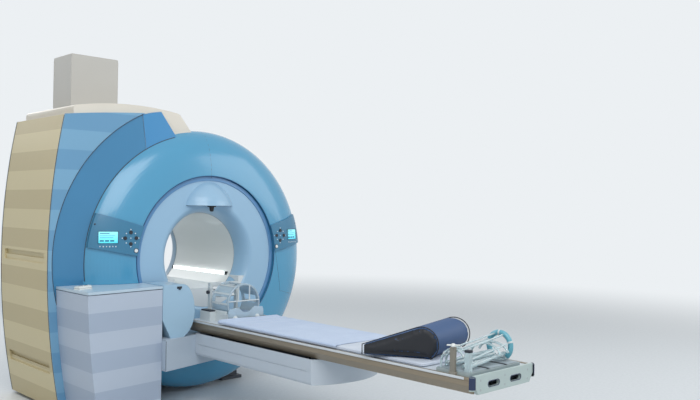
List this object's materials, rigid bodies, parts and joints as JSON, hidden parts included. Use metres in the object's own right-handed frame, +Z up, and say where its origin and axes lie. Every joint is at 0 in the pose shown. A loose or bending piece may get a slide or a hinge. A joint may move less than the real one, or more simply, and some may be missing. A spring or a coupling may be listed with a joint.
{
  "type": "mri scanner",
  "caption": "Short wide-bore magnetic resonance scanner with a round ring face, a striped body shell and a side-mounted lifting patient table carrying a head coil, knee wedge and foot coil.",
  "frame": {"origin": "on the floor straight below the middle of the bore, in the middle of the magnet feet's bolt pattern", "axes": "+X to the right seen from the table side, +Y into the bore, +Z up"},
  "size_m": [2.264, 4.006, 2.619],
  "materials": {
    "steel_grey": "satin",
    "vessel_steel": "satin",
    "can_aluminium": "satin",
    "copper": "satin",
    "resin": "matt",
    "bore_white": "satin",
    "light_blue": "satin",
    "ring_blue": "satin",
    "deep_blue": "satin",
    "cap_blue": "satin",
    "panel_blue": "satin",
    "cream": "satin",
    "column_grey": "satin",
    "dark_plastic": "matt",
    "white_plastic": "matt",
    "lit_screen": "gloss",
    "lamp": "gloss",
    "tabletop_white": "satin",
    "rail_brown": "satin",
    "pale_green": "satin",
    "mattress": "matt",
    "navy": "matt",
    "clear": "gloss",
    "mirror": "gloss"
  },
  "bodies": {
    "base": {"magnet_feet": "steel_grey", "vacuum_vessel": "vessel_steel", "helium_can": "can_aluminium", "magnet_coils": "copper", "gradient_coil": "resin", "body_coil": "copper", "cold_head": "vessel_steel", "vent_pipe": "vessel_steel", "bore_liner": "bore_white", "table_bridge": "bore_white", "front_funnel": "light_blue", "trim_ring": "deep_blue", "ring_cover": "ring_blue", "visor": "light_blue", "bore_camera": "dark_plastic", "bore_light": "lamp", "light_ends": "dark_plastic", "front_panel": "panel_blue", "band_cover": "deep_blue", "band_cap": "cap_blue", "side_cover": "cream", "top_cover": "cream", "drum_cover": "panel_blue", "rear_panel": "panel_blue", "rear_cover": "light_blue", "duct_shaft": "cream", "left_panel": "ring_blue", "right_panel": "ring_blue", "screens": "lit_screen", "column_cover": "column_grey", "column_lid": "column_grey", "guide_column": "steel_grey", "lift_motor": "dark_plastic", "hand_control": "white_plastic"},
    "lift": {"lift_carriage": "steel_grey", "arm_cover": "column_grey", "carriage_cover": "light_blue", "table_beam": "column_grey", "slide_rails": "can_aluminium"},
    "tabletop": {"tabletop": "tabletop_white", "side_rails": "rail_brown", "end_plate": "pale_green", "mattress": "mattress", "knee_wedge": "navy", "head_coil": "white_plastic", "coil_helmet": "clear", "foot_coil": "clear"},
    "screw": {"lift_screw": "vessel_steel"},
    "roller": {"drive_roller": "dark_plastic"},
    "mirror": {"coil_mirror": "mirror"},
    "left_key_up": {"left_key_up": "dark_plastic"},
    "left_key_down": {"left_key_down": "dark_plastic"},
    "left_key_in": {"left_key_in": "dark_plastic"},
    "left_key_out": {"left_key_out": "dark_plastic"},
    "left_stop": {"left_stop": "white_plastic"},
    "right_key_up": {"right_key_up": "dark_plastic"},
    "right_key_down": {"right_key_down": "dark_plastic"},
    "right_key_in": {"right_key_in": "dark_plastic"},
    "right_key_out": {"right_key_out": "dark_plastic"},
    "right_stop": {"right_stop": "white_plastic"}
  },
  "joints": [
    {"name": "table_lift", "type": "slide", "parent": "base", "child": "lift", "axis": [0, 0, 1], "range_m": [0, 0.31]},
    {"name": "tabletop_slide", "type": "slide", "parent": "lift", "child": "tabletop", "axis": [0, 1, 0], "range_m": [0, 0.13]},
    {"name": "screw_turn", "type": "hinge", "parent": "base", "child": "screw", "pos_m": [-0.83, -0.6, 0.4], "axis": [0, 0, 1], "range_deg": [0, 5581]},
    {"name": "roller_turn", "type": "hinge", "parent": "lift", "child": "roller", "pos_m": [0, -1.986, 0.4947], "axis": [1, 0, 0], "range_deg": [-185.8, 0]},
    {"name": "mirror_tilt", "type": "hinge", "parent": "tabletop", "child": "mirror", "pos_m": [0, -0.806, 0.819], "axis": [1, 0, 0], "range_deg": [-35, 20]},
    {"name": "left_key_up_press", "type": "slide", "parent": "base", "child": "left_key_up", "axis": [0.1045, 0.9945, 0], "range_m": [0, 0.002], "stiffness_N_per_m": 400, "springref_m": -0.001},
    {"name": "left_key_down_press", "type": "slide", "parent": "base", "child": "left_key_down", "axis": [0.1045, 0.9945, 0], "range_m": [0, 0.002], "stiffness_N_per_m": 400, "springref_m": -0.001},
    {"name": "left_key_in_press", "type": "slide", "parent": "base", "child": "left_key_in", "axis": [0.1045, 0.9945, 0], "range_m": [0, 0.002], "stiffness_N_per_m": 400, "springref_m": -0.001},
    {"name": "left_key_out_press", "type": "slide", "parent": "base", "child": "left_key_out", "axis": [0.1045, 0.9945, 0], "range_m": [0, 0.002], "stiffness_N_per_m": 400, "springref_m": -0.001},
    {"name": "left_stop_press", "type": "slide", "parent": "base", "child": "left_stop", "axis": [0.1045, 0.9945, 0], "range_m": [0, 0.002], "stiffness_N_per_m": 400, "springref_m": -0.001},
    {"name": "right_key_up_press", "type": "slide", "parent": "base", "child": "right_key_up", "axis": [-0.1045, 0.9945, 0], "range_m": [0, 0.002], "stiffness_N_per_m": 400, "springref_m": -0.001},
    {"name": "right_key_down_press", "type": "slide", "parent": "base", "child": "right_key_down", "axis": [-0.1045, 0.9945, 0], "range_m": [0, 0.002], "stiffness_N_per_m": 400, "springref_m": -0.001},
    {"name": "right_key_in_press", "type": "slide", "parent": "base", "child": "right_key_in", "axis": [-0.1045, 0.9945, 0], "range_m": [0, 0.002], "stiffness_N_per_m": 400, "springref_m": -0.001},
    {"name": "right_key_out_press", "type": "slide", "parent": "base", "child": "right_key_out", "axis": [-0.1045, 0.9945, 0], "range_m": [0, 0.002], "stiffness_N_per_m": 400, "springref_m": -0.001},
    {"name": "right_stop_press", "type": "slide", "parent": "base", "child": "right_stop", "axis": [-0.1045, 0.9945, 0], "range_m": [0, 0.002], "stiffness_N_per_m": 400, "springref_m": -0.001}
  ],
  "couplings": [
    {"joint": "screw_turn", "follows": "table_lift", "rad_per_m": 314.16},
    {"joint": "roller_turn", "follows": "tabletop_slide", "rad_per_m": -24.814}
  ]
}
